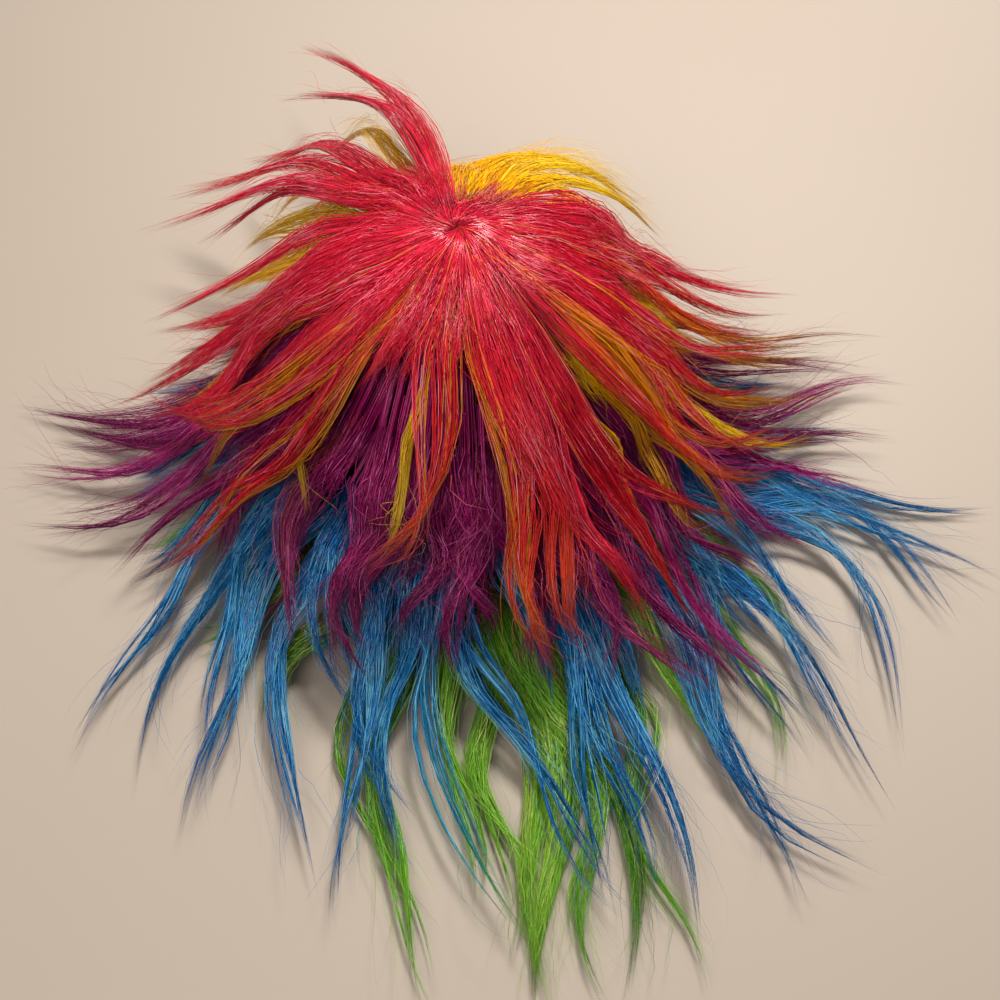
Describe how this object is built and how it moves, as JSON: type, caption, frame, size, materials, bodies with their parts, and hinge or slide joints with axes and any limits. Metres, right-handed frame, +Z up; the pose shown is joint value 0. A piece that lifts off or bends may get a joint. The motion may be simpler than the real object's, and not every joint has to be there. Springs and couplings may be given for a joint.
{
  "type": "wig",
  "caption": "Layered rainbow wig on an open hollow cap, with a crown whorl and long tapered locks in pink, yellow, purple, blue and green spread over the table.",
  "frame": {"origin": "middle of the overall box, on the table that the wig lies on", "axes": "+Z up from the table, -Y towards the nape, +X to the right as seen from behind the wig"},
  "size_m": [0.5232, 0.58, 0.139],
  "materials": {
    "cap": "knitted net",
    "green_hair": "glossy synthetic hair",
    "blue_hair": "glossy synthetic hair",
    "purple_hair": "glossy synthetic hair",
    "yellow_hair": "glossy synthetic hair",
    "pink_hair": "glossy synthetic hair"
  },
  "bodies": {
    "root": {"cap": "cap", "green_nape": "green_hair", "blue_layer": "blue_hair", "purple_layer": "purple_hair", "yellow_layer": "yellow_hair", "pink_crown": "pink_hair"}
  },
  "joints": []
}
